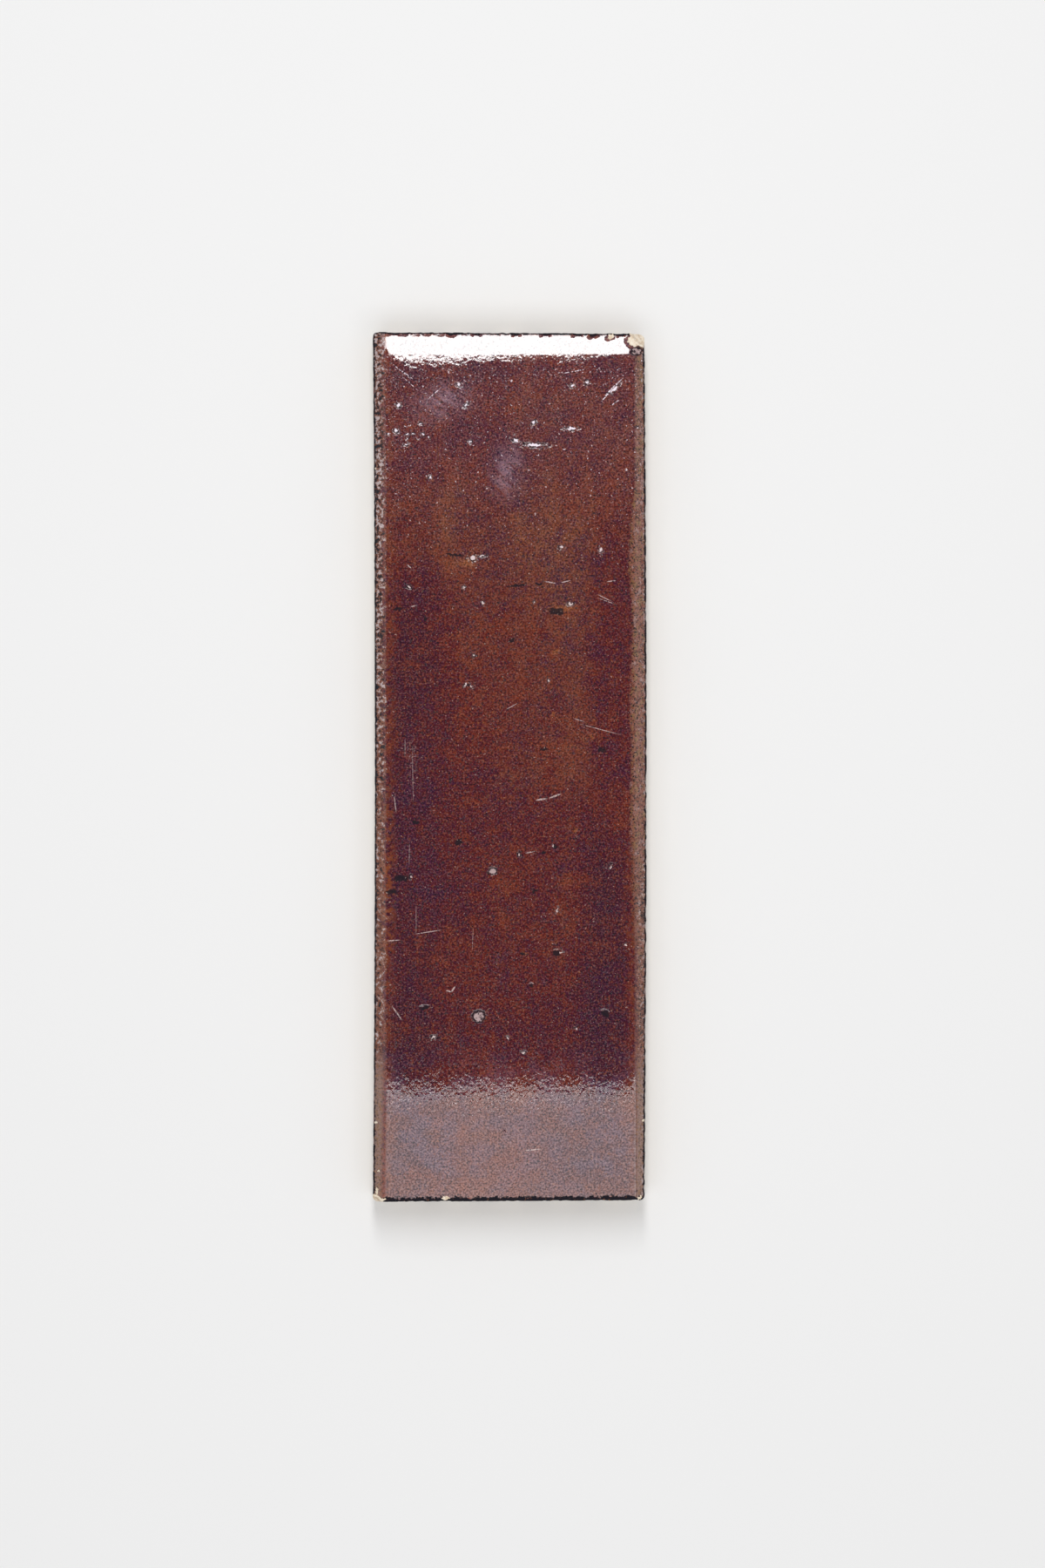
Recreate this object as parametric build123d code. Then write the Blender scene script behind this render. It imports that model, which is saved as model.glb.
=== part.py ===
from build123d import *
import os

# A thin glazed brick tile, one fired piece, in millimetres.
# It lies on its bed with the glazed face up.
# X runs across the tile, Y along it and Z out of the glazed face.
# The head is the end at +Y and the foot is the end at -Y. The origin is the centre of the bed.

# Overall size of the fired tile
LENGTH = 203.0
WIDTH = 63.5
THICKNESS = 13.0

# Firing distortion: both long sides bow towards +X, and each end runs out of square,
# so the +X side is the shorter
SIDE_BOW = 0.5
END_SKEW = 0.4

# Plan radius of the four upright corners
CORNER_RADIUS = 1.1

# Pillowed edge of the glazed face: how far in from each side the face starts to fall,
# and how much it has fallen at the side
LEFT_PILLOW_WIDTH = 2.8
LEFT_PILLOW_DROP = 1.0
RIGHT_PILLOW_WIDTH = 3.8
RIGHT_PILLOW_DROP = 1.3
HEAD_PILLOW_WIDTH = 5.0
HEAD_PILLOW_DROP = 0.7
FOOT_PILLOW_WIDTH = 0.9
FOOT_PILLOW_DROP = 0.3

# Bed: a fettled arris all round, and dovetail key grooves that run out at both ends
BED_ARRIS = 0.8
GROOVE_PITCH = 12.5
GROOVE_MOUTH = 5.0
GROOVE_DEPTH = 2.0
GROOVE_UNDERCUT = 0.6
GROOVE_EDGE_LAND = 8.0

# Chips knocked off the glazed arris at two corners: depth below the arris,
# and radius of the hollow break
HEAD_RIGHT_CHIP_DEPTH = 2.0
FOOT_LEFT_CHIP_DEPTH = 1.2
CHIP_BREAK_RADIUS = 9.0

# How far a cutting or trimming solid runs past the tile
OVERRUN = 10.0


def side_x(side, share_of_half_length):
    """X of a long side, -1 for left and +1 for right, at a share of the half length from the middle."""
    return side * WIDTH / 2 + SIDE_BOW * (0.5 - share_of_half_length**2)


def plan_prism():
    """The outline in plan at full height, with bowed sides, skewed ends and the bed arris."""
    foot_left = (side_x(-1, 1), -LENGTH / 2)
    foot_right = (side_x(1, 1), -LENGTH / 2 + END_SKEW)
    head_right = (side_x(1, 1), LENGTH / 2 - END_SKEW)
    head_left = (side_x(-1, 1), LENGTH / 2)
    with BuildPart() as prism:
        with BuildSketch():
            with BuildLine():
                Line(foot_left, foot_right)
                ThreePointArc(foot_right, (side_x(1, 0), 0), head_right)
                Line(head_right, head_left)
                ThreePointArc(head_left, (side_x(-1, 0), 0), foot_left)
            outline = make_face()
            fillet(outline.vertices(), CORNER_RADIUS)
        extrude(amount=THICKNESS)
        bed = prism.faces().sort_by(Axis.Z)[0]
        chamfer(bed.edges(), BED_ARRIS)
    return prism.part


def pillow_radius(width, drop):
    """Radius of the arc that leaves the face level and has fallen by drop after width."""
    return (width**2 + drop**2) / (2 * drop)


def pillow_profile(low_wall, low_pillow, high_wall, high_pillow):
    """Face drawn across the tile: level on top, with an arc falling past the wall at each side.

    A wall is where that side of the tile stands, and a pillow is its (width, drop).
    """
    low_radius = pillow_radius(*low_pillow)
    high_radius = pillow_radius(*high_pillow)
    low_start = low_wall + low_pillow[0]
    high_start = high_wall - high_pillow[0]
    with BuildSketch() as profile:
        with BuildLine():
            Line((low_start, THICKNESS), (high_start, THICKNESS))
            high_arc = CenterArc((high_start, THICKNESS - high_radius), high_radius, 90, -90)
            low_arc = CenterArc((low_start, THICKNESS - low_radius), low_radius, 90, 90)
            high_foot = ((high_arc @ 1).X, -OVERRUN)
            low_foot = ((low_arc @ 1).X, -OVERRUN)
            Polyline(high_arc @ 1, high_foot, low_foot, low_arc @ 1)
        make_face()
    return profile.sketch


def pillowed_face():
    """A block larger than the tile, with the glazed face on top: two profiles drawn out and crossed."""
    across = pillow_profile(
        side_x(-1, 0),
        (LEFT_PILLOW_WIDTH, LEFT_PILLOW_DROP),
        side_x(1, 0),
        (RIGHT_PILLOW_WIDTH, RIGHT_PILLOW_DROP),
    )
    along = pillow_profile(
        -LENGTH / 2,
        (FOOT_PILLOW_WIDTH, FOOT_PILLOW_DROP),
        LENGTH / 2,
        (HEAD_PILLOW_WIDTH, HEAD_PILLOW_DROP),
    )
    bar = extrude(Plane.XZ * across, amount=LENGTH / 2 + OVERRUN, both=True)
    saddle = extrude(Plane.YZ * along, amount=WIDTH / 2 + OVERRUN, both=True)
    return bar & saddle


def key_grooves():
    """Dovetail bars that cut the keys into the bed, as many as fit between the two edge lands."""
    floor_width = GROOVE_MOUTH + 2 * GROOVE_UNDERCUT
    count = int((WIDTH - 2 * GROOVE_EDGE_LAND - floor_width) // GROOVE_PITCH) + 1
    with BuildPart() as grooves:
        with BuildSketch(Plane.XZ):
            with GridLocations(GROOVE_PITCH, 1, count, 1):
                Polygon(
                    (-GROOVE_MOUTH / 2, 0),
                    (GROOVE_MOUTH / 2, 0),
                    (floor_width / 2, GROOVE_DEPTH),
                    (-floor_width / 2, GROOVE_DEPTH),
                    align=None,
                )
        extrude(amount=LENGTH / 2 + OVERRUN, both=True)
    return grooves.part


def corner_chip(corner, drop, outward, depth):
    """Ball that breaks a shallow hollow chip off the glazed arris at a corner.

    The corner is its place in plan, drop is how far its arris lies below the face,
    and outward points off the tile. The break reaches depth into the corner along its slope.
    """
    arris = Vector(*corner, THICKNESS - drop)
    slope = Vector(*outward, 1).normalized()
    return Pos(arris + slope * (CHIP_BREAK_RADIUS - depth)) * Sphere(CHIP_BREAK_RADIUS)


def chips():
    """The two chips that show on the corners."""
    head_right = corner_chip(
        (side_x(1, 1), LENGTH / 2 - END_SKEW),
        max(RIGHT_PILLOW_DROP, HEAD_PILLOW_DROP),
        (1, 1),
        HEAD_RIGHT_CHIP_DEPTH,
    )
    foot_left = corner_chip(
        (side_x(-1, 1), -LENGTH / 2),
        max(LEFT_PILLOW_DROP, FOOT_PILLOW_DROP),
        (-1, -1),
        FOOT_LEFT_CHIP_DEPTH,
    )
    return [head_right, foot_left]


def brick_tile():
    """The whole fired tile."""
    tile = plan_prism() & pillowed_face()
    tile -= key_grooves()
    for chip in chips():
        tile -= chip
    return tile


os.makedirs("parts", exist_ok=True)
export_step(brick_tile(), "parts/brick_tile.step")
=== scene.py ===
"""A glazed thin brick tile lying on its bed, with its glaze and clay and the studio round it."""

import logging
import math
from dataclasses import dataclass
from enum import Enum

import bpy
import numpy as np
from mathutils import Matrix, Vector, noise


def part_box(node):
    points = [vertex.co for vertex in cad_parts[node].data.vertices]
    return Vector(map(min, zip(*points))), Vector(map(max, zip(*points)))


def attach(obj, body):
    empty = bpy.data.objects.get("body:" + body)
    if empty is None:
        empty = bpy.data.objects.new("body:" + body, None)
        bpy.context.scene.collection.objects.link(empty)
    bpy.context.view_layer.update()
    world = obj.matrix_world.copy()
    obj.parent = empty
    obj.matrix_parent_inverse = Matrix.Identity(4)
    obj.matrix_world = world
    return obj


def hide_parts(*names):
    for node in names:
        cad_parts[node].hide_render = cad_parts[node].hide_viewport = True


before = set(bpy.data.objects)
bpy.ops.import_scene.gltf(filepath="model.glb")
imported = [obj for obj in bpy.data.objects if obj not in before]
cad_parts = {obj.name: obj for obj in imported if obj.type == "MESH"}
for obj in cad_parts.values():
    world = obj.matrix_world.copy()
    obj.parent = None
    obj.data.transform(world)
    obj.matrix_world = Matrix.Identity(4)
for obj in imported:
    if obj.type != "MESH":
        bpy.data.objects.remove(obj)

LOG = logging.getLogger("brick_tile")
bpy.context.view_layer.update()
TILE_NODE = "brick_tile"
MM = 0.001

Colour = tuple[float, float, float]
Span = tuple[float, float]
Piece = bpy.types.Object


class Axis(Enum):
    """A direction along which a mesh is shifted."""

    X = 0
    Y = 1
    Z = 2


class Wear(Enum):
    """A kind of mark on the glazed face; GLINT marks are painted highlights."""

    GLINT = "bright fleck on the glaze"
    FLAKE = "flake of bared clay"
    CHIP = "shallow chip with a burnt rim"
    PIT = "dark open pinhole"
    NOTCH = "dark square-cut nick"
    BITE = "dark bite out of the arris"
    SCRATCH = "fine pale scratch"
    RUB = "patch of fine rubbed scratches"
    AMBER = "spot where the glaze ran thin"
    # HAZE marks only paint the face's colour paler and milkier.
    HAZE = "soft milky patch in the glaze"


@dataclass(frozen=True)
class Mark:
    """One mark on the face: its centre and size in millimetres, and its turn in degrees."""

    x: float
    y: float
    length: float
    width: float
    turn: float = 0.0


MARKS: dict[Wear, tuple[Mark, ...]] = {
    # Painted highlights: each GLINT is a glint of light painted pale on the glaze.
    Wear.GLINT: (
        Mark(5.8, 75.0, 3.8, 0.8, -3), Mark(14.4, 78.8, 2.2, 0.7, 4), Mark(24.3, 88.0, 2.6, 0.5, 42),
        Mark(-25.9, 84.3, 0.9, 0.8), Mark(-26.5, 78.4, 0.9, 0.9), Mark(-20.8, 80.0, 0.7, 0.6),
        Mark(-24.0, 75.2, 0.8, 0.6), Mark(-9.2, 75.8, 0.6, 0.6), Mark(5.6, 80.3, 1.0, 0.6, 50),
        Mark(18.0, 89.6, 0.9, 0.6, 20), Mark(14.6, 88.8, 0.8, 0.6), Mark(-11.8, 89.2, 0.9, 0.7),
        Mark(-10.2, 84.3, 1.0, 0.7, 60), Mark(-18.5, 67.5, 0.8, 0.5, 80), Mark(-5.3, 65.0, 0.5, 0.5),
        Mark(21.3, 50.6, 1.0, 0.7, 85), Mark(12.1, 51.2, 0.9, 0.7), Mark(-23.4, 41.9, 0.7, 0.6),
        Mark(-10.6, 41.9, 0.6, 0.5), Mark(-6.2, 38.2, 0.6, 0.6), Mark(5.8, 38.4, 0.6, 0.5),
        Mark(14.2, 38.0, 1.2, 0.5, 5), Mark(-8.4, 26.0, 0.6, 0.6), Mark(9.1, 20.2, 0.5, 0.5),
        Mark(-8.6, 48.7, 1.4, 1.0, 10), Mark(-6.5, 49.1, 1.4, 0.4, 6), Mark(27.2, -41.6, 0.5, 0.45),
        Mark(-23.0, -25.6, 0.7, 0.5, 60), Mark(12.1, -43.2, 0.6, 0.5), Mark(10.3, -18.5, 0.5, 0.5),
        Mark(-0.4, -63.2, 0.5, 0.5), Mark(3.2, -66.6, 0.9, 0.5), Mark(23.5, -23.3, 0.9, 0.4, 70),
        Mark(11.1, -33.5, 1.0, 0.45, 75), Mark(2.2, -20.4, 0.9, 0.5, 80),
        Mark(-17.7, -63.0, 1.2, 0.6, 15), Mark(-10.3, 19.3, 1.0, 0.45, 50),
        Mark(-9.0, 18.8, 0.9, 0.4, -30), Mark(15.6, -61.0, 0.7, 0.35, -20),
        Mark(1.4, 76.2, 1.6, 0.9, -40), Mark(-24.4, 79.4, 0.5, 0.3), Mark(-23.2, 79.5, 0.5, 0.25),
        Mark(-28.3, 77.7, 0.6, 0.4), Mark(-23.9, 77.6, 0.5, 0.3), Mark(-22.5, 77.7, 0.7, 0.25),
        Mark(-20.2, 77.6, 0.6, 0.5), Mark(-23.9, 76.5, 0.5, 0.3), Mark(-21.6, 76.4, 0.7, 0.25),
        Mark(-18.9, 76.8, 0.5, 0.3),
    ),
    Wear.CHIP: (
        Mark(-3.9, -24.3, 1.7, 1.5), Mark(-7.2, -58.2, 2.6, 2.4, 30), Mark(29.5, 96.9, 2.2, 1.7, 10),
    ),
    Wear.PIT: (
        Mark(-16.6, -63.2, 1.0, 0.6), Mark(-9.7, 19.0, 0.9, 0.6, -25), Mark(3.0, -43.6, 1.6, 0.6, -5),
        Mark(21.5, 3.9, 2.4, 1.3, -5), Mark(7.9, 4.1, 1.9, 0.8), Mark(-12.0, -17.6, 2.2, 1.7, 30),
        Mark(10.6, -18.7, 1.2, 1.1), Mark(-26.1, 36.8, 2.2, 0.8, 5), Mark(-19.6, 34.6, 1.1, 0.9),
        Mark(0.5, 29.5, 1.7, 1.1, 20), Mark(-1.1, -84.9, 0.7, 0.4, -50),
        Mark(22.3, -57.6, 2.3, 1.6, -30), Mark(10.9, -43.4, 2.2, 1.6), Mark(-27.6, -29.2, 3.0, 1.3, 4),
        Mark(5.9, -29.0, 1.6, 0.8, 15), Mark(8.0, -19.9, 1.4, 0.8), Mark(-21.9, -12.9, 1.9, 0.8, -8),
        Mark(-13.6, -3.0, 1.5, 0.8, 60), Mark(-12.9, 49.4, 5.0, 0.7, -8), Mark(1.8, 42.3, 5.4, 0.6, 8),
        Mark(6.9, 42.6, 1.9, 0.8), Mark(5.0, -51.0, 1.3, 1.0), Mark(-20.0, -56.2, 2.6, 0.9, 10),
    ),
    Wear.AMBER: (
        Mark(3.4, -43.5, 1.6, 0.8, -5), Mark(10.1, 12.4, 1.0, 0.9), Mark(19.2, 7.0, 1.6, 0.8, -45),
        Mark(-9.6, 47.6, 4.2, 2.2), Mark(3.2, 53.5, 1.2, 1.7, 20), Mark(10.9, 26.8, 2.2, 1.2, 10),
        Mark(15.4, -14.9, 1.2, 0.9, 30), Mark(12.6, 36.9, 5.4, 2.0, 10),
    ),
    Wear.SCRATCH: (
        Mark(-13.2, -51.9, 1.7, 0.4, 55), Mark(-14.2, -52.3, 1.3, 0.36, -15),
        Mark(16.2, 10.9, 2.6, 0.18, -16), Mark(20.9, 8.8, 9.5, 0.15, -15), Mark(7.4, -7.6, 2.6, 0.42, 8),
        Mark(10.6, -6.8, 2.9, 0.4, 20), Mark(24.3, 88.6, 5.6, 0.34, 44), Mark(22.6, 86.6, 4.4, 0.3, 50),
        Mark(24.6, 84.9, 2.2, 0.24, 36), Mark(-25.2, 92.2, 5.6, 0.18, -40),
        Mark(-23.9, 91.4, 5.0, 0.2, -36), Mark(-23.0, 89.2, 4.2, 0.16, -42),
        Mark(-17.6, 87.0, 4.4, 0.2, 42), Mark(15.0, 92.2, 5.2, 0.22, 10), Mark(-24.4, 4.4, 4.4, 0.1, 90),
        Mark(-22.6, -2.0, 12.5, 0.08, 91), Mark(-26.7, -8.7, 4.0, 0.2, 97),
        Mark(-23.4, -20.3, 5.4, 0.09, 89), Mark(-21.8, -35.5, 7.2, 0.08, 90),
        Mark(-8.6, -40.2, 5.2, 0.08, 88), Mark(-18.9, -38.5, 6.2, 0.2, 9),
        Mark(-27.1, -40.5, 3.0, 0.26, 4), Mark(-26.3, -57.4, 3.9, 0.3, -55),
        Mark(22.1, 39.4, 3.2, 0.2, -26), Mark(22.7, 38.6, 4.4, 0.16, -20),
        Mark(23.7, 43.3, 2.1, 0.26, 6), Mark(9.5, 43.0, 2.6, 0.26, -10), Mark(13.1, 43.2, 2.2, 0.24, 12),
        Mark(0.5, 14.1, 2.8, 0.16, 28), Mark(4.9, -19.9, 2.4, 0.26, 12), Mark(5.4, -89.3, 3.6, 0.34, 6),
        Mark(-23.4, 46.7, 1.4, 0.24, -40), Mark(-22.3, 37.5, 1.6, 0.26, 12),
    ),
    Wear.NOTCH: (Mark(10.9, 36.2, 3.6, 1.6), Mark(-25.4, -25.9, 3.4, 1.4, 3)),
    Wear.RUB: (Mark(-22.9, 1.5, 13.0, 3.4, 90),),
    Wear.BITE: (
        Mark(-26.9, 101.2, 2.8, 0.9, 2), Mark(-22.8, 101.2, 1.1, 0.8), Mark(-17.9, 101.2, 1.3, 0.8),
        Mark(-13.7, 101.1, 2.0, 1.1, -4), Mark(-7.6, 101.1, 1.8, 0.9), Mark(1.6, 101.0, 1.6, 0.9, 3),
        Mark(8.5, 101.0, 2.0, 0.9), Mark(15.8, 100.9, 2.2, 0.9, -3), Mark(19.6, 100.8, 2.2, 1.1, 4),
        Mark(26.1, 100.9, 1.7, 0.9),
    ),
    Wear.FLAKE: (
        Mark(23.6, 100.3, 1.6, 1.2, 30), Mark(28.9, 99.2, 3.0, 2.2, -25),
        Mark(-14.9, -100.6, 2.2, 0.7, 6), Mark(30.4, -100.5, 1.3, 0.9, 35),
        Mark(-31.0, -99.0, 2.0, 0.6, 84), Mark(-29.7, -100.9, 1.8, 0.6, -8),
        Mark(-30.6, -94.3, 0.5, 0.4), Mark(-31.2, -83.0, 0.7, 0.5, 70), Mark(31.2, -82.4, 0.9, 0.5, 80),
        Mark(-31.2, 69.6, 0.7, 0.5, 60),
    ),
    Wear.HAZE: (
        Mark(-15.9, 85.1, 14.0, 8.0, 18), Mark(-0.5, 69.0, 8.0, 13.0),
    ),
}

# How deep the marks that are sunk into the mesh go, in millimetres
SUNK_DEPTHS: dict[Wear, float] = {
    Wear.PIT: 0.04,
    Wear.NOTCH: 0.03,
    Wear.CHIP: 0.03,
    Wear.BITE: 0.5,
    Wear.FLAKE: 0.25,
}


@dataclass(frozen=True)
class Zone:
    """A soft-edged part of the face where the glaze lies thinner by a share, or thicker below 0."""

    x_rise: Span
    x_fall: Span
    y_rise: Span
    y_fall: Span
    share: float


ZONES: tuple[Zone, ...] = (
    Zone((-9.0, 4.0), (16.0, 24.0), (-16.0, 4.0), (56.0, 74.0), 0.16),
    Zone((-30.0, -25.0), (-16.0, -8.0), (40.0, 50.0), (62.0, 70.0), 0.18),
    Zone((-30.0, -26.0), (-21.0, -13.0), (-80.0, -68.0), (50.0, 78.0), -0.2),
    Zone((14.0, 21.0), (26.0, 28.5), (-82.0, -66.0), (-32.0, -4.0), -0.24),
    Zone((-32.0, -29.0), (-8.0, 6.0), (62.0, 78.0), (93.0, 96.0), -0.1),
)


@dataclass(frozen=True)
class Pillow:
    """A rounded edge of the face: how far in it starts to fall and how much it has fallen at the wall."""

    width: float
    drop: float

    def radius(self) -> float:
        """Radius of the arc that leaves the face level."""
        return (self.width**2 + self.drop**2) / (2 * self.drop)

    def fall(self, depth: np.ndarray) -> np.ndarray:
        """Work out how far the arc has fallen.

        Args:
            depth: how far past the start of the arc each point lies; below zero is the level face.
        Returns:
            The fall at each point, not below zero.
        """
        steepest = 0.98
        radius = self.radius()
        run = np.clip(depth, 0.0, radius * steepest)
        return radius - np.sqrt(radius**2 - run**2)


@dataclass(frozen=True)
class TileForm:
    """Sizes of the fired tile in millimetres, with the length, width and thickness taken from the frame."""

    length: float
    width: float
    thickness: float
    side_bow: float = 0.5
    end_skew: float = 0.4
    corner_radius: float = 1.1
    left_pillow: Pillow = Pillow(2.8, 1.0)
    right_pillow: Pillow = Pillow(3.8, 1.3)
    head_pillow: Pillow = Pillow(5.0, 0.7)
    foot_pillow: Pillow = Pillow(0.9, 0.3)
    bed_arris: float = 0.8
    groove_pitch: float = 12.5
    groove_mouth: float = 5.0
    groove_depth: float = 2.0
    groove_undercut: float = 0.6
    groove_count: int = 4
    chip_radius: float = 9.0
    head_right_chip_depth: float = 2.0
    foot_left_chip_depth: float = 1.2

    @classmethod
    def from_frame(cls) -> "TileForm":
        """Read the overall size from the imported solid, whose box holds the bow as well as the width."""
        low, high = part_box(TILE_NODE)
        size = (Vector(high) - Vector(low)) / MM
        return cls(length=size.y, width=size.x - cls.side_bow, thickness=size.z)

    def side_x(self, side: int, share: float) -> float:
        """X of a long side, -1 for left and +1 for right, at a share of the half length from the middle."""
        return side * self.width / 2 + self.side_bow * (0.5 - share**2)

    def drop(self, x: np.ndarray, y: np.ndarray) -> np.ndarray:
        """Work out how far the glazed face lies below its top.

        Args:
            x: places across the tile.
            y: places along the tile.
        Returns:
            The drop at each place.
        """
        left = self.left_pillow.fall(self.side_x(-1, 0) + self.left_pillow.width - x)
        right = self.right_pillow.fall(x - self.side_x(1, 0) + self.right_pillow.width)
        head = self.head_pillow.fall(y - self.length / 2 + self.head_pillow.width)
        foot = self.foot_pillow.fall(self.foot_pillow.width - self.length / 2 - y)
        return np.maximum.reduce([left, right, head, foot])

    def chip_centres(self) -> tuple[Vector, Vector]:
        """Centres of the balls that break the head-right and the foot-left corner."""
        slope = Vector((1, 1, 1)).normalized()
        head_drop = max(self.right_pillow.drop, self.head_pillow.drop)
        head = Vector((self.side_x(1, 1), self.length / 2 - self.end_skew, self.thickness - head_drop))
        head += slope * (self.chip_radius - self.head_right_chip_depth)
        foot_drop = max(self.left_pillow.drop, self.foot_pillow.drop)
        foot = Vector((self.side_x(-1, 1), -self.length / 2, self.thickness - foot_drop))
        foot += Vector((-slope.x, -slope.y, slope.z)) * (self.chip_radius - self.foot_left_chip_depth)
        return head, foot


class Bench:
    """Blender's own tools, used as by hand on one object at a time."""

    @staticmethod
    def only(piece: Piece) -> None:
        """Deselect everything else and make the piece active."""
        bpy.ops.object.select_all(action="DESELECT")
        piece.select_set(True)
        bpy.context.view_layer.objects.active = piece

    @staticmethod
    def added(name: str) -> Piece:
        """Name the primitive just added, put its place into its mesh and return it."""
        piece = bpy.context.active_object
        piece.name = piece.data.name = name
        bpy.ops.object.transform_apply(location=True, rotation=True, scale=True)
        return piece

    @staticmethod
    def modify(piece: Piece, kind: str, **settings: object) -> None:
        """Add a modifier, set it and apply it.

        Args:
            piece: the object that gets it.
            kind: the modifier's type.
            settings: its properties by name.
        """
        Bench.only(piece)
        modifier = piece.modifiers.new(kind.lower(), kind)
        for name, value in settings.items():
            setattr(modifier, name, value)
        bpy.ops.object.modifier_apply(modifier=modifier.name)

    @staticmethod
    def weigh(piece: Piece, name: str, weights: np.ndarray) -> None:
        """Paint a vertex group.

        Args:
            piece: the object that gets the group.
            name: the group's name.
            weights: one weight from 0 to 1 for each vertex.
        """
        group = piece.vertex_groups.new(name=name)
        for index in np.flatnonzero(weights > 0):
            group.add([int(index)], float(weights[index]), "REPLACE")

    @staticmethod
    def points(piece: Piece) -> np.ndarray:
        """The vertices of a piece in millimetres, one row each."""
        flat = np.empty(len(piece.data.vertices) * 3)
        piece.data.vertices.foreach_get("co", flat)
        return flat.reshape(-1, 3) / MM

    @staticmethod
    def shift(piece: Piece, axis: Axis, amounts: np.ndarray) -> None:
        """Shift the vertices along an axis through painted Displace modifiers, one for each sign.

        Args:
            piece: the object to shape.
            axis: the direction of the shift.
            amounts: one shift in millimetres for each vertex.
        """
        for sign in (1, -1):
            share = np.clip(sign * amounts, 0.0, None)
            most = float(share.max())
            if most <= 0:
                continue
            Bench.weigh(piece, "shift", share / most)
            Bench.modify(
                piece,
                "DISPLACE",
                direction=axis.name,
                strength=sign * most * MM,
                mid_level=0.0,
                vertex_group="shift",
            )
            piece.vertex_groups.remove(piece.vertex_groups["shift"])

    @staticmethod
    def cut(piece: Piece, cutter: Piece) -> None:
        """Take the cutter out of the piece and throw the cutter away."""
        Bench.modify(piece, "BOOLEAN", operation="DIFFERENCE", solver="MANIFOLD", object=cutter)
        bpy.data.objects.remove(cutter, do_unlink=True)


class Wire:
    """A shader value that joins in arithmetic: each operator adds a Math node."""

    def __init__(self, sheet: "NodeSheet", socket: bpy.types.NodeSocket) -> None:
        """Keep the socket and the sheet that it is on."""
        self.sheet = sheet
        self.socket = socket

    def __add__(self, other: "Wire | float") -> "Wire":
        """Sum."""
        return self.sheet.math("ADD", self, other)

    def __radd__(self, other: float) -> "Wire":
        """Sum with a number on the left."""
        return self.sheet.math("ADD", other, self)

    def __sub__(self, other: "Wire | float") -> "Wire":
        """Difference."""
        return self.sheet.math("SUBTRACT", self, other)

    def __rsub__(self, other: float) -> "Wire":
        """Difference from a number on the left."""
        return self.sheet.math("SUBTRACT", other, self)

    def __mul__(self, other: "Wire | float") -> "Wire":
        """Product."""
        return self.sheet.math("MULTIPLY", self, other)

    def __rmul__(self, other: float) -> "Wire":
        """Product with a number on the left."""
        return self.sheet.math("MULTIPLY", other, self)

    def __truediv__(self, other: "Wire | float") -> "Wire":
        """Quotient."""
        return self.sheet.math("DIVIDE", self, other)

    def least(self, other: "Wire | float") -> "Wire":
        """The smaller of two values."""
        return self.sheet.math("MINIMUM", self, other)

    def most(self, other: "Wire | float") -> "Wire":
        """The larger of two values."""
        return self.sheet.math("MAXIMUM", self, other)

    def held(self) -> "Wire":
        """The value held between 0 and 1."""
        return self.most(0.0).least(1.0)

    def step(self, start: float, end: float) -> "Wire":
        """Smooth step from 0 at start to 1 at end; start may be the larger."""
        return self.sheet.out(
            "MapRange",
            {"interpolation_type": "SMOOTHSTEP"},
            {"Value": self, "From Min": start, "From Max": end},
        )

    def window(self, rise: Span, fall: Span) -> "Wire":
        """1 between two places, with a soft rise before and a soft fall after."""
        return self.step(*rise) * self.step(fall[1], fall[0])


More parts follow.
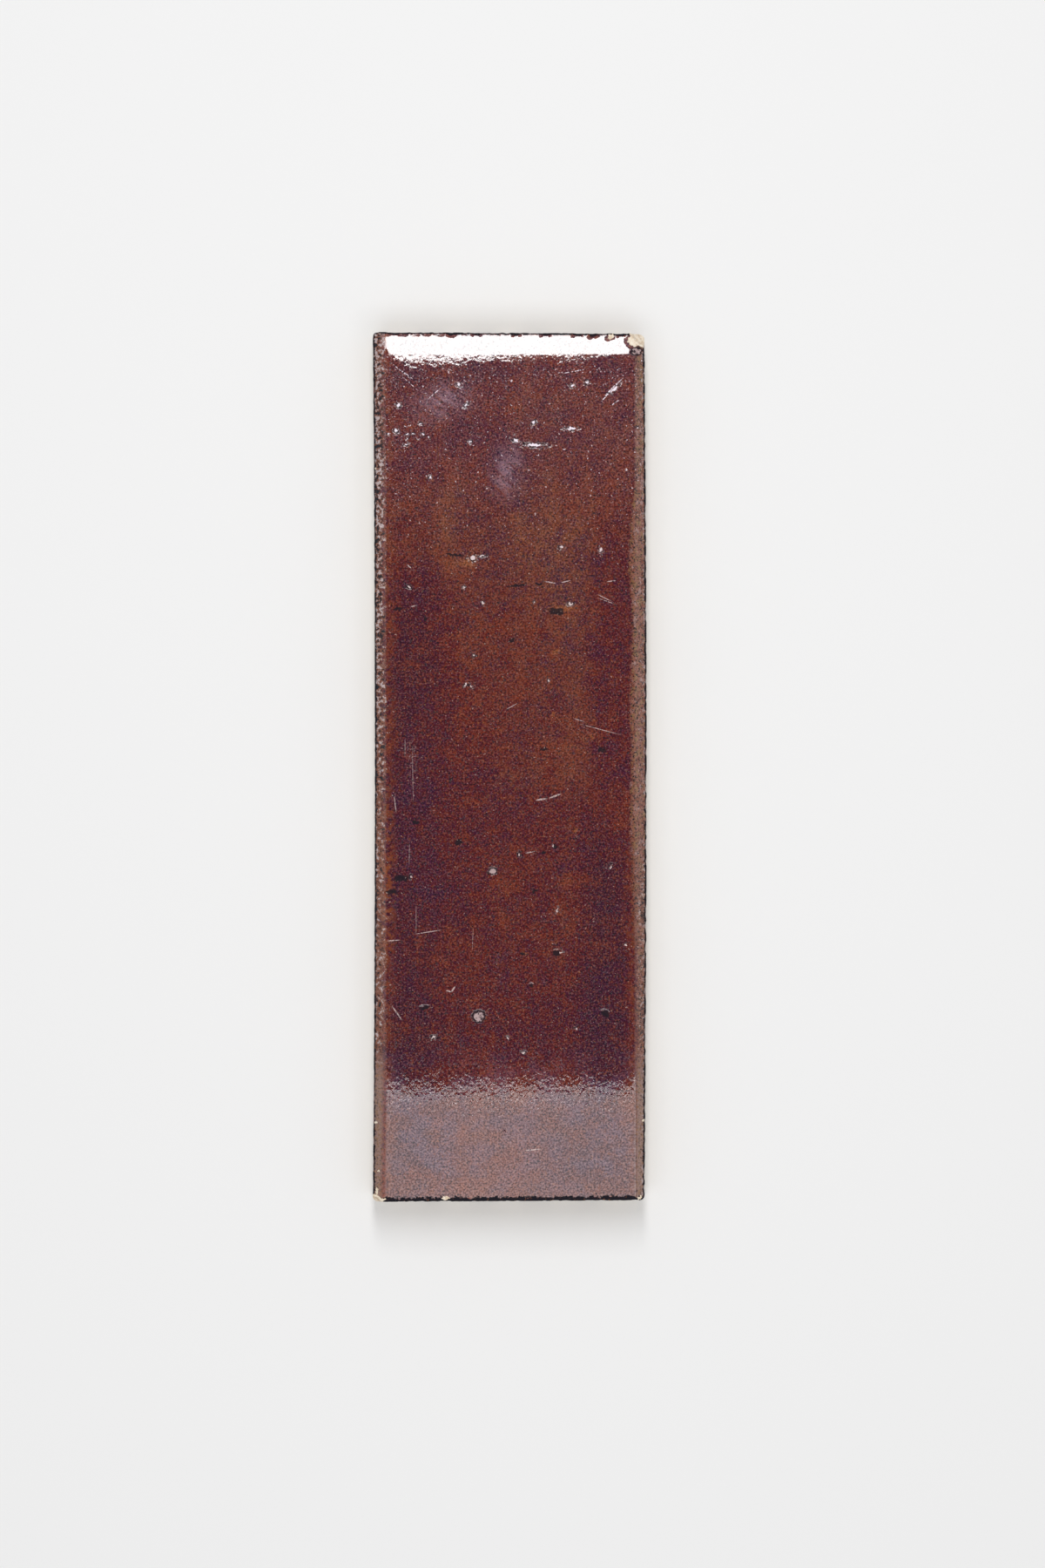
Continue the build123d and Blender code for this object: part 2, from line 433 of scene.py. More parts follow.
class NodeSheet:
    """A node tree and the one way that nodes are added to it."""

    def __init__(self, tree: bpy.types.NodeTree) -> None:
        """Clear the tree."""
        self.tree = tree
        tree.nodes.clear()

    def node(
        self,
        kind: str,
        settings: dict[str, object] | None = None,
        sockets: dict[str | int, object] | None = None,
    ) -> bpy.types.Node:
        """Add a node.

        Args:
            kind: the node's type, without its prefix.
            settings: its properties, set first; "stops" gives a colour ramp's places and colours.
            sockets: values or wires for its inputs, by name or number.
        Returns:
            The node.
        """
        made = self.tree.nodes.new("ShaderNode" + kind)
        for name, value in (settings or {}).items():
            if name == "stops":
                self._set_stops(made.color_ramp, value)
            else:
                setattr(made, name, value)
        for key, value in (sockets or {}).items():
            if isinstance(value, Wire):
                self.tree.links.new(value.socket, made.inputs[key])
            else:
                made.inputs[key].default_value = value
        return made

    @staticmethod
    def _set_stops(ramp: bpy.types.ColorRamp, stops: list[tuple[float, Colour]]) -> None:
        """Give a colour ramp its stops."""
        while len(ramp.elements) < len(stops):
            ramp.elements.new(1.0)
        for element, (place, colour) in zip(ramp.elements, stops):
            element.position = place
            element.color = (*colour, 1.0)

    def out(
        self,
        kind: str,
        settings: dict[str, object] | None = None,
        sockets: dict[str | int, object] | None = None,
        output: str | int = 0,
    ) -> Wire:
        """Add a node as node() does and return one of its outputs."""
        return Wire(self, self.node(kind, settings, sockets).outputs[output])

    def math(self, operation: str, *values: "Wire | float") -> Wire:
        """Add a Math node on one or two values."""
        return self.out("Math", {"operation": operation}, dict(enumerate(values)))

    def vector(self, operation: str, *values: "Wire | tuple", output: str = "Vector") -> Wire:
        """Add a Vector Math node."""
        return self.out("VectorMath", {"operation": operation}, dict(enumerate(values)), output)

    def place(self, x: "Wire | float", y: "Wire | float", z: "Wire | float" = 0.0) -> Wire:
        """Join three values into a vector."""
        return self.out("CombineXYZ", None, {"X": x, "Y": y, "Z": z})

    def parts(self, vector: Wire) -> tuple[Wire, Wire, Wire]:
        """Split a vector into its three values."""
        split = self.node("SeparateXYZ", None, {"Vector": vector})
        x, y, z = (Wire(self, socket) for socket in split.outputs)
        return x, y, z

    def blend(self, share: "Wire | float", low: "Wire | Colour", high: "Wire | Colour") -> Wire:
        """Mix two colours by a share from 0, all low, to 1, all high."""
        first, second = (c if isinstance(c, Wire) else (*c, 1.0) for c in (low, high))
        settings = {"data_type": "RGBA", "clamp_factor": True}
        return self.out("Mix", settings, {0: share, 6: first, 7: second}, 2)

    def noise(self, at: Wire, scale: float, detail: float = 2.0, rough: float = 0.5) -> Wire:
        """Noise from about 0.2 to 0.8 at a scale in cycles a millimetre."""
        sockets = {"Vector": at, "Scale": scale, "Detail": detail, "Roughness": rough}
        return self.out("TexNoise", None, sockets)


@dataclass(frozen=True)
class GlazeColours:
    """Colours of the fired glaze, from where it lies thick and dark to where it runs thin, with the pale
    colours of the painted highlights.
    """

    aubergine: Colour = (0.056, 0.0058, 0.0180)
    oxblood: Colour = (0.106, 0.0080, 0.0100)
    russet: Colour = (0.160, 0.035, 0.020)
    amber: Colour = (0.27, 0.10, 0.042)
    sparkle: Colour = (0.46, 0.235, 0.22)
    ember: Colour = (0.27, 0.050, 0.012)
    violet: Colour = (0.050, 0.008, 0.038)
    flare: Colour = (0.36, 0.12, 0.04)
    rust: Colour = (0.245, 0.064, 0.022)
    # Pinkish colour of the painted sparkles and of the painted glints low on the face.
    glint_pink: Colour = (0.66, 0.48, 0.42)
    shard: Colour = (0.46, 0.33, 0.33)
    milky: Colour = (0.37, 0.25, 0.33)
    slate: Colour = (0.095, 0.055, 0.12)
    thin: Colour = (0.20, 0.074, 0.046)
    tan: Colour = (0.25, 0.094, 0.066)
    dun: Colour = (0.275, 0.165, 0.140)
    ochre: Colour = (0.24, 0.13, 0.055)
    lilac: Colour = (0.46, 0.37, 0.37)
    burnt: Colour = (0.012, 0.010, 0.015)
    # Whitish colour of the painted glints and sparkles toward the head.
    glint: Colour = (0.90, 0.80, 0.88)


@dataclass(frozen=True)
class ClayColours:
    """Colours of the bare fired body."""

    cream: Colour = (0.92, 0.83, 0.70)
    buff: Colour = (0.74, 0.58, 0.42)
    fleck: Colour = (0.16, 0.08, 0.05)


class BrickFinish:
    """The one finish of the tile: glaze on the face, clay where it is bare."""

    def __init__(self, form: TileForm, glaze: GlazeColours, clay: ClayColours) -> None:
        """Start the material and lay out the coordinates that the rest reads."""
        self.form = form
        self.glaze = glaze
        self.clay = clay
        self.material = bpy.data.materials.new("fired_glaze_and_clay")
        self.material.use_nodes = True
        self.sheet = NodeSheet(self.material.node_tree)
        sheet = self.sheet
        local = sheet.out("TexCoord", None, None, "Object")
        self.at = sheet.vector("MULTIPLY", local, (1 / MM,) * 3)
        self.x, self.y, self.z = sheet.parts(self.at)
        self.flat = sheet.place(self.x, self.y)
        self._lay_edges()
        self._lay_noises()

    def _lay_edges(self) -> None:
        """Measure how far in from each side every point lies."""
        form = self.form
        along = self.y / (form.length / 2)
        bow = form.side_bow * (0.5 - along * along)
        skew = (self.x + form.width / 2) * (form.end_skew / form.width)
        self.from_left = self.x - bow + form.width / 2
        self.from_right = form.width / 2 + bow - self.x
        self.from_head = form.length / 2 - skew - self.y
        self.from_foot = self.y + form.length / 2 - skew
        self.from_side = self.from_left.least(self.from_right).least(self.from_head).least(self.from_foot)
        wall_top, face_start = 11.0, 11.5
        self.on_face = self.z.step(wall_top, face_start)
        sheet = self.sheet
        slow = sheet.noise(sheet.place(self.x * 0.06, self.y * 0.06, 2.0), 1.0)
        quick = sheet.noise(sheet.place(self.x * 0.3, self.y * 0.3, self.z * 0.1), 1.0, 3.0)
        glaze_end, slow_swing, quick_swing = 8.6, 6.0, 2.4
        self.above_clay = self.z - glaze_end - (slow - 0.5) * slow_swing - (quick - 0.5) * quick_swing

    def _lay_noises(self) -> None:
        """Lay out the noises that several layers share."""
        sheet = self.sheet
        self.mottle = sheet.noise(self.at, 0.75, 3.0, 0.6)
        self.grain = sheet.noise(self.at, 2.3, 1.5, 0.6)
        self.tint = sheet.noise(sheet.place(self.y, self.x, self.z), 1.7, 2.0, 0.6)
        self.grit = sheet.noise(self.at, 1.15, 4.0, 0.65)
        sockets = {"Vector": self.flat, "Scale": 1.6, "Detail": 2.0}
        wobble = sheet.out("TexNoise", None, sockets, "Color")
        sway = sheet.vector("SUBTRACT", wobble, (0.5, 0.5, 0.5))
        self.level = sheet.place(self.x, self.y, 1.0)
        self.jittered = sheet.vector("MULTIPLY_ADD", sway, (1.2, 1.2, 0.0), self.level)

    def _reach(self, kind: Wear) -> Wire:
        """Distance to the nearest mark of a kind, where 1 is the mark's own rim."""
        sheet = self.sheet
        at = self.level if kind is Wear.SCRATCH else self.jittered
        nearest: Wire | None = None
        for mark in MARKS[kind]:
            cos, sin = math.cos(math.radians(mark.turn)), math.sin(math.radians(mark.turn))
            half_length, half_width = mark.length / 2, mark.width / 2
            forward = (cos / half_length, sin / half_length, -(mark.x * cos + mark.y * sin) / half_length)
            across = (-sin / half_width, cos / half_width, (mark.x * sin - mark.y * cos) / half_width)
            u = sheet.vector("DOT_PRODUCT", at, forward, output="Value")
            v = sheet.vector("DOT_PRODUCT", at, across, output="Value")
            square = (u * u).most(v * v) if kind is Wear.NOTCH else u * u + v * v
            nearest = square if nearest is None else nearest.least(square)
        return sheet.math("SQRT", nearest)

    def _glaze_tone(self) -> Wire:
        """How thin the glaze lies, from 0, thick and dark, to 1, thin and amber, with painted shade
        lowering it in strips beside the head and foot reflections.
        """
        sheet = self.sheet
        x, y = self.x, self.y
        streak = sheet.noise(sheet.place(x * 0.11, y * 0.011), 1.0)
        blotch = sheet.noise(sheet.place(x * 0.07, y * 0.035, 4.0), 1.0, 3.0)
        patch = sheet.noise(self.flat, 0.24, 3.0, 0.6)
        tone = (
            0.40
            + y.step(20.0, 60.0) * 0.11
            + (streak - 0.5) * 0.3
            + (blotch - 0.5) * 0.4
            + (patch - 0.5) * 0.4
            + (self.mottle - 0.5) * 0.5
        )
        for zone in ZONES:
            inside = x.window(zone.x_rise, zone.x_fall) * y.window(zone.y_rise, zone.y_fall)
            tone = tone + inside * zone.share
        # Painted shade: darker strips just beside the foot and head reflections.
        shade_above_foot_band = y.window((-76.0, -70.0), (-62.0, -50.0))
        shade_below_head_band = y.window((86.0, 91.0), (94.0, 96.0))
        return tone - shade_above_foot_band * 0.12 - shade_below_head_band * 0.12

    def _glaze_colour(self) -> Wire:
        """Colour of the glaze on the open face, with its grain, its milky patches and amber spots, and
        tints painted where the foot card's reflection lies.
        """
        sheet = self.sheet
        x, y = self.x, self.y
        blend = sheet.blend
        colours = self.glaze
        stops = [
            (0.10, colours.aubergine),
            (0.40, colours.oxblood),
            (0.62, colours.russet),
            (1.00, colours.amber),
        ]
        base = sheet.out("ValToRGB", {"stops": stops}, {"Fac": self._glaze_tone()}, "Color")
        cloud = sheet.noise(self.flat, 0.16, 3.0, 0.55)
        wisps = sheet.noise(sheet.place(x + y, y * 0.5), 0.4, 4.0, 0.65)
        # Milky patches, and a milky cast growing toward the head: colour painted paler, nothing more.
        haze = self._reach(Wear.HAZE).step(1.6, -0.3) * wisps.step(0.3, 0.65)
        top_haze = y.step(50.0, 80.0) * (0.1 + cloud * 1.4)
        base = blend((haze * 0.85 + top_haze * 0.07).held(), base, colours.milky)
        # Painted reflection: the foot zone is where the foot card's reflection lies, and the slate, rust
        # and ember tints here and the foot's dun sides are painted to colour that reflection.
        self.foot = y.step(-64.0, -74.0)
        base = blend(self.foot * cloud.step(0.42, 0.6) * 0.5, base, colours.slate)
        base = blend(self.foot * self.from_side.step(8.0, 1.0) * 0.3, base, colours.rust)
        base = blend(self.foot * x.window((-22.0, -6.0), (6.0, 22.0)) * 0.2, base, colours.ember)
        base = blend(self._reach(Wear.AMBER).step(1.3, 0.5) * 0.6, base, colours.flare)
        slow = sheet.noise(sheet.place(y, x), 0.32, 2.0, 0.55) - 0.5
        drift = sheet.noise(sheet.place(y, x, 5.0), 0.1) - 0.5
        cool = x.window((-30.0, -26.0), (-20.0, -14.0)) * y.window((-46.0, -22.0), (6.0, 22.0))
        hue = (self.tint - 0.5 + slow * 0.65 + drift * 0.5 - cool * 0.08) * (1 - self.foot * 0.15)
        base = blend((hue * 1.9).held(), base, colours.ember)
        base = blend((hue * -2.8).held(), base, colours.violet)
        fine = self.grain - 0.5
        base = blend((fine * (1.1 + y.step(40.0, 70.0) * 0.5)).held(), base, colours.sparkle)
        return blend((fine * -4.6).held(), base, colours.burnt)

    def _edge_bands(self, base: Wire) -> Wire:
        """Lay the thin pale glaze of the pillowed edges and the burnt arris over the face's colour, with
        the arris band painted wider at the foot as a painted shadow.

        Args:
            base: colour of the open face.
        Returns:
            The colour with its edges.
        """
        sheet = self.sheet
        x, y = self.x, self.y
        blend = sheet.blend
        colours = self.glaze
        ragged = (self.grit - 0.5) * 2.0
        wander = sheet.noise(sheet.place(7.0, y * 0.05), 1.0, 3.0)
        lower = y.step(-12.0, -34.0)
        right_width = 2.1 + y.window((-48.0, -24.0), (45.0, 85.0)) * 1.5 + (wander - 0.5) * 2.4
        right = (right_width - self.from_right + ragged * (0.9 + lower * 1.2)).step(-0.55, 0.45)
        left = (2.1 - self.from_left + ragged * 2.6 + (self.mottle - 0.5) * 4.0).step(-0.3, 0.3)
        stones = sheet.noise(self.at, 1.05, 3.0, 0.6)
        stops = [
            (0.36, colours.burnt),
            (0.45, colours.thin),
            (0.55, colours.thin),
            (0.59, colours.dun),
            (0.62, colours.dun),
            (0.67, colours.lilac),
        ]
        high = y.step(-10.0, 40.0)
        sized = (stones - 0.5) * (1.15 + high * 1.2) + 0.515 + y.step(40.0, 70.0) * 0.03
        pebbled = sheet.out("ValToRGB", {"stops": stops}, {"Fac": sized}, "Color")
        blush = sheet.noise(sheet.place(x, y * 0.6), 0.8, 3.0, 0.65)
        crumbly = sheet.noise(sheet.place(3.0, y * 0.11), 1.0).step(0.40, 0.52)
        smooth = blend(blush.step(0.48, 0.62) * 0.8, colours.tan, colours.ochre)
        smooth = blend(blush.step(0.46, 0.34) * 0.4, smooth, colours.lilac)
        smooth = blend(stones.step(0.48, 0.38) * 0.7, smooth, colours.russet)
        smooth = blend(lower * crumbly * self.from_right.step(3.0, 1.2) * 0.8, smooth, pebbled)
        smooth = blend(lower * self.from_right.step(1.4, 2.8) * 0.6, smooth, colours.russet)
        smooth = blend((self.grain - 0.5) * -5.6, smooth, colours.burnt)
        patchy = self.mottle.step(0.4, 0.6)
        chipped = y.window((-48.0, -38.0), (-16.0, -6.0))
        fringe = (self.from_left + ragged * 1.5).step(5.6, 2.8) * (0.4 + chipped * 0.5)
        inner_right = (self.from_right - right_width + ragged * 1.5).step(2.8, 0.0)
        fringe = fringe.most(inner_right * lower * (0.7 - crumbly * 0.35))
        edged = blend(fringe * patchy, base, colours.rust)
        beside_right = (right_width - self.from_right).step(-0.9, -0.2)
        edged = blend(beside_right * 0.3, edged, colours.aubergine)
        # Painted reflection tint: dun sides laid across the foot zone, where the foot card's reflection
        # lies.
        foot_reflection_tint = blend(self.tint.step(0.45, 0.62) * 0.6, colours.dun, colours.ochre)
        foot_reflection_tint = blend((self.grain - 0.5) * -3.4, foot_reflection_tint, colours.burnt)
        edged = blend(right * (1 - self.foot), edged, smooth)
        self.stony = left * (1 - self.foot)
        edged = blend(self.stony, edged, pebbled)
        beside = self.from_left.least(self.from_right) + ragged * 0.6
        edged = blend(self.foot * beside.step(2.7, 1.5), edged, foot_reflection_tint)
        crumbs = self.from_right.step(1.1, 0.3) * stones.step(0.54, 0.6) * (0.35 + crumbly * 0.65)
        edged = blend(crumbs * 0.8, edged, colours.lilac)
        frayed = (self.grit - 0.5) * 0.9 + (self.mottle - 0.5) * 0.8
        # The burnt arris all round; along the foot edge the dark band is painted more than twice as wide,
        # as a painted shadow under the foot.
        self.rim = (self.from_side.least(self.from_foot * 0.42) + frayed).step(0.56, 0.34) * self.on_face
        edged = blend(self.rim, edged, colours.burnt)
        wall = blend(self.mottle.step(0.35, 0.65), colours.aubergine, colours.russet)
        wall = blend((self.above_clay + ragged).step(1.8, 0.0) * 0.8, wall, colours.amber)
        return blend(self.on_face, wall, edged)

    def _bare(self) -> Wire:
        """Where the clay is bare: the breaks at two corners, the chips, the lower walls and the bed."""
        sheet = self.sheet
        form = self.form
        rough_break, soft = 0.25, 0.1
        edge = form.chip_radius + rough_break
        bare = self.above_clay.step(0.12, -0.12)
        for centre in form.chip_centres():
            reach = sheet.vector("DISTANCE", self.at, tuple(centre), output="Value")
            bare = bare.most(reach.step(edge + soft, edge - soft))
        return bare

    def _clay_colour(self) -> Wire:
        """Colour of the bare body: buff with cream and dark flecks."""
        sheet = self.sheet
        mixed = sheet.blend(self.grit.step(0.35, 0.65), self.clay.buff, self.clay.cream)
        return sheet.blend(self.grain.step(0.66, 0.74) * 0.7, mixed, self.clay.fleck)

    def make(self) -> bpy.types.Material:
        """Wire the whole finish.

        Returns:
            The finished material.
        """
        sheet = self.sheet
        x, y = self.x, self.y
        blend = sheet.blend
        chip_reach = self._reach(Wear.CHIP)
        pit_reach = self._reach(Wear.PIT).least(self._reach(Wear.NOTCH)).least(self._reach(Wear.BITE))
        sunk = chip_reach.least(pit_reach).step(1.25, 1.05) * self.on_face
        fleck = sheet.noise(self.flat, 1.45, 3.0, 0.7)
        pinhole = fleck.step(0.41, 0.37) * y.window((-76.0, -60.0), (93.5, 96.5))
        glint_reach = self._reach(Wear.GLINT)
        dark = chip_reach.step(1.5, 1.1).most(pit_reach.step(1.1, 0.7)).most(pinhole * 0.8)
        # A dark ring is also painted round the painted glints.
        dark = dark.most(glint_reach.step(2.4, 1.6) * self.mottle.step(0.55, 0.45) * 0.8) * self.on_face
        upper = y.step(35.0, 75.0)
        # Painted highlights: pale sparkles scattered over the face.
        painted_sparkle = fleck.step(0.645, 0.68) * y.window((-74.0, -60.0), (96.0, 98.0)) * self.on_face
        upright = sheet.noise(sheet.place(x * 3.0, y * 0.6), 1.0, 1.0).step(0.56, 0.66)
        level = sheet.noise(sheet.place(x * 0.8, y * 3.0), 1.0, 1.0).step(0.58, 0.66)
        rub = self._reach(Wear.RUB).step(1.2, 0.5) * upright.most(level) * self.grain.step(0.35, 0.6)
        scratch = self._reach(Wear.SCRATCH).step(1.2, 0.7) * (self.grain - upper * 0.12).step(0.28, 0.5)
        # Painted highlights: the glints.
        glint = glint_reach.step(0.95, 0.7)
        # Painted reflection: pale flecks just below the head lamp's white reflection.
        painted_reflection_flecks = fleck.step(0.59, 0.65) * y.window((87.5, 91.5), (92.5, 94.0))
        # Bright marks: painted highlights (glints, sparkles and the flecks under the head band) together
        # with the real pale scratches and rubbed patch.
        bright = (glint * (0.85 + upper * 0.15)).most(scratch * (0.62 + upper * 0.33))
        bright = bright.most(painted_sparkle * upper * 0.75).most(rub * 0.15).most(painted_reflection_flecks * 0.35)
        bright = bright * self.on_face
        shard = chip_reach.step(1.0, 0.8) * self.grit.step(0.38, 0.5) * self.on_face
        flake = self._reach(Wear.FLAKE).step(1.05, 0.9) * self.on_face
        colour = self._edge_bands(self._glaze_colour())
        colour = blend(self.tint.step(0.64, 0.7) * 0.6, colour, self.glaze.amber)
        colour = blend(dark * 0.9, colour, self.glaze.burnt)
        # Painted highlights: the sparkles tint the face pinkish.
        colour = blend(painted_sparkle * 0.5, colour, self.glaze.glint_pink)
        colour = blend(shard, colour, self.glaze.shard)
        # The painted glints and sparkles are pinkish low on the face and whiter toward the head.
        pale = blend(0.3 + upper * 0.7, self.glaze.glint_pink, self.glaze.glint)
        colour = blend(bright, colour, pale)
        bare = self._bare().most(flake)
        colour = blend(bare, colour, self._clay_colour())
        dull = self.grain.step(0.7, 0.3) * (0.3 + self.foot * 0.25)
        dry = (self.stony * 0.7).most(self.from_left.step(3.6, 2.8) * 0.55)
        worn = bare.most(self.rim).most(bright).most(dark).most(sunk).most(dull).most(dry)
        normal = self._relief(dark, bare)
        band = self.from_left.step(3.2, 2.2)
        shared = {"Base Color": colour, "Normal": normal}
        smooth = {"Roughness": 0.01 + band * 0.35, "IOR": 1.8}
        gloss = sheet.out("BsdfPrincipled", None, shared | smooth)
        matt = sheet.out("BsdfPrincipled", None, shared | {"Roughness": 0.9, "Specular IOR Level": 0.15})
        mixed = sheet.out("MixShader", None, {0: worn, 1: gloss, 2: matt})
        sheet.node("OutputMaterial", None, {"Surface": mixed})
        return self.material

    def _relief(self, dark: Wire, bare: Wire) -> Wire:
        """Bump of the finest relief: the glaze's ripple, the rough edges, the pinholes and the bare clay.

        Args:
            dark: where pinholes and pits are.
            bare: where the clay is bare.
        Returns:
            The bumped normal.
        """
        sheet = self.sheet
        x, y = self.x, self.y
        ripple = sheet.noise(sheet.place(x * 1.15, y * 0.8), 1.0)
        choppy = 0.0010 + y.step(-58.0, -75.0) * 0.0058 + y.step(80.0, 92.0) * 0.0015
        band = self.from_left.step(3.2, 2.2).most(self.from_side.step(0.9, 0.4))
        height = ripple * choppy + band * self.grit * 0.1 - dark * 0.03 + bare * self.grit * 0.25
        sockets = {"Strength": 1.0, "Distance": MM, "Height": height}
        return sheet.out("Bump", None, sockets, "Normal")


@dataclass
class GlazedTile:
    """The fired tile: a block with a fine face, shaped, worn and cut as its solid is."""

    form: TileForm
    columns: int = 154
    rows: int = 492
    wall_steps: tuple[float, ...] = (0.5, 0.7, 1.0, 1.4, 1.8, 2.2, 2.4, 2.2)
    arris_round: float = 0.2
    shoulder_curve: float = 0.002
    shoulder_at_head: float = 5.0
    shoulder_along: float = 8.5
    shoulder_grows_from: float = 3.5
    shoulder_grows_over: float = 6.0
    narrowest_sunk: float = 0.9
    ripple_wave: float = 7.0
    ripple_height: float = 0.006
    fray_inward: float = 0.8
    fray_down: float = 1.2
    fray_loss: float = 0.45
    break_grain: float = 1.6
    break_height: float = 0.7
    smooth_below: float = 32.0

    def build(self) -> Piece:
        """Model the tile.

        Returns:
            The finished mesh object, still undressed.
        """
        piece = self._block()
        self._warp(piece)
        self._pillow(piece)
        self._wear(piece)
        self._ripple(piece)
        self._fray(piece)
        self._cut_grooves(piece)
        self._break_corners(piece)
        Bench.only(piece)
        bpy.ops.object.shade_smooth_by_angle(angle=math.radians(self.smooth_below))
        return piece

    def _block(self) -> Piece:
        """Add the face as a fine grid, draw its rim down into walls and close the bed.

        Returns:
            A closed block, square and level.
        """
        form = self.form
        bpy.ops.object.select_all(action="DESELECT")
        bpy.ops.mesh.primitive_grid_add(
            x_subdivisions=self.columns,
            y_subdivisions=self.rows,
            size=1.0,
            location=(0, 0, form.thickness * MM),
        )
        piece = bpy.context.active_object
        piece.scale = (form.width * MM, form.length * MM, 1.0)
        piece = Bench.added("glazed_tile")
        bpy.ops.object.mode_set(mode="EDIT")
        bpy.ops.mesh.select_mode(type="EDGE")
        bpy.ops.mesh.select_all(action="DESELECT")
        bpy.ops.mesh.select_non_manifold(
            extend=False, use_wire=False, use_multi_face=False, use_non_contiguous=False, use_verts=False
        )
        for step in self.wall_steps:
            self._draw_down(step)
        self._draw_down(form.bed_arris)
        inset_x = 1 - 2 * form.bed_arris / form.width
        inset_y = 1 - 2 * form.bed_arris / form.length
        bpy.ops.transform.resize(value=(inset_x, inset_y, 1.0), center_override=(0, 0, 0))
        bpy.ops.mesh.edge_face_add()
        bpy.ops.mesh.select_all(action="SELECT")
        bpy.ops.mesh.normals_make_consistent(inside=False)
        bpy.ops.mesh.select_all(action="DESELECT")
        bpy.ops.object.mode_set(mode="OBJECT")
        self._round_arris(piece)
        return piece

    @staticmethod
    def _draw_down(step: float) -> None:
        """Extrude the selected rim straight down by a step."""
        bpy.ops.mesh.extrude_edges_move(TRANSFORM_OT_translate={"value": (0, 0, -step * MM)})

    def _round_arris(self, piece: Piece) -> None:
        """Round the arris between the face and the walls.

        Args:
            piece: the square block.
        """
        mesh = piece.data
        points = Bench.points(piece)
        slack = 0.01
        on_top = points[:, 2] > self.form.thickness - slack
        on_rim = (np.abs(points[:, 0]) > self.form.width / 2 - slack) | (
            np.abs(points[:, 1]) > self.form.length / 2 - slack
        )
        rim = on_top & on_rim
        for edge in mesh.edges:
            edge.select = bool(rim[edge.vertices[0]] and rim[edge.vertices[1]])
        bpy.ops.object.mode_set(mode="EDIT")
        bpy.ops.mesh.bevel(offset=self.arris_round * MM, segments=2, affect="EDGES")
        bpy.ops.object.mode_set(mode="OBJECT")

    def _warp(self, piece: Piece) -> None:
        """Round the upright corners in plan, then skew the ends and bow the sides."""
        form = self.form
        points = Bench.points(piece)
        x, y = points[:, 0], points[:, 1]
        radius = form.corner_radius
        over_x = np.clip((np.abs(x) - form.width / 2 + radius) / radius, 0.0, 1.0)
        over_y = np.clip((np.abs(y) - form.length / 2 + radius) / radius, 0.0, 1.0)
        reach = np.hypot(over_x, over_y)
        pull = 1 - np.maximum(over_x, over_y) / np.where(reach > 0, reach, 1.0)
        inward = np.where((over_x > 0) & (over_y > 0), pull, 0.0) * radius
        rounding_x = -np.sign(x) * over_x * inward
        rounding_y = -np.sign(y) * over_y * inward
        along = y / (form.length / 2)
        bow = form.side_bow * (0.5 - along**2)
        skew = -along * form.end_skew * (x / form.width + 0.5)
        Bench.shift(piece, Axis.X, rounding_x + bow)
        Bench.shift(piece, Axis.Y, rounding_y + skew)

    def _pillow(self, piece: Piece) -> None:
        """Let the face fall at its four edges with a soft shoulder, and the walls in proportion."""
        form = self.form
        points = Bench.points(piece)
        x, y = points[:, 0], points[:, 1]
        bow = form.side_bow * (0.5 - (2 * y / form.length) ** 2)
        from_side = form.width / 2 - np.abs(x - bow)
        from_head = form.length / 2 - y
        grown = np.clip((from_head - self.shoulder_grows_from) / self.shoulder_grows_over, 0.0, 1.0)
        shoulder_start = self.shoulder_at_head + (self.shoulder_along - self.shoulder_at_head) * grown
        shoulder = 0.5 * self.shoulder_curve * np.clip(shoulder_start - from_side, 0.0, None) ** 2
        fall = form.drop(x, y) + shoulder
        Bench.shift(piece, Axis.Z, -fall * points[:, 2] / form.thickness)

    def _wear(self, piece: Piece) -> None:
        """Sink the pits, chips and nicks into the face."""
        face_depth, bowl_edge = 2.0, 1.4
        points = Bench.points(piece)
        on_face = points[:, 2] > self.form.thickness - face_depth
        sunk = np.zeros(len(points))
        for kind, depth in SUNK_DEPTHS.items():
            for mark in (m for m in MARKS[kind] if m.width >= self.narrowest_sunk):
                turn = math.radians(mark.turn)
                dx, dy = points[:, 0] - mark.x, points[:, 1] - mark.y
                u = (dx * math.cos(turn) + dy * math.sin(turn)) / (mark.length / 2)
                v = (dy * math.cos(turn) - dx * math.sin(turn)) / (mark.width / 2)
                bowl = np.clip(bowl_edge - u**2 - v**2, 0.0, 1.0)
                sunk = np.maximum(sunk, depth * bowl)
        Bench.shift(piece, Axis.Z, -sunk * on_face)

    def _ripple(self, piece: Piece) -> None:
        """Give the glaze its slow ripple."""
        form = self.form
        points = Bench.points(piece)
        on_face = points[:, 2] > form.thickness - 0.02
        Bench.weigh(piece, "face", on_face.astype(float))
        ripple = bpy.data.textures.new("glaze_ripple", "CLOUDS")
        ripple.noise_scale = self.ripple_wave * MM
        ripple.noise_depth = 1
        Bench.modify(
            piece,
            "DISPLACE",
            direction="Z",
            texture=ripple,
            texture_coords="LOCAL",
            mid_level=1.0,
            strength=self.ripple_height * MM,
            vertex_group="face",
        )
        piece.vertex_groups.clear()

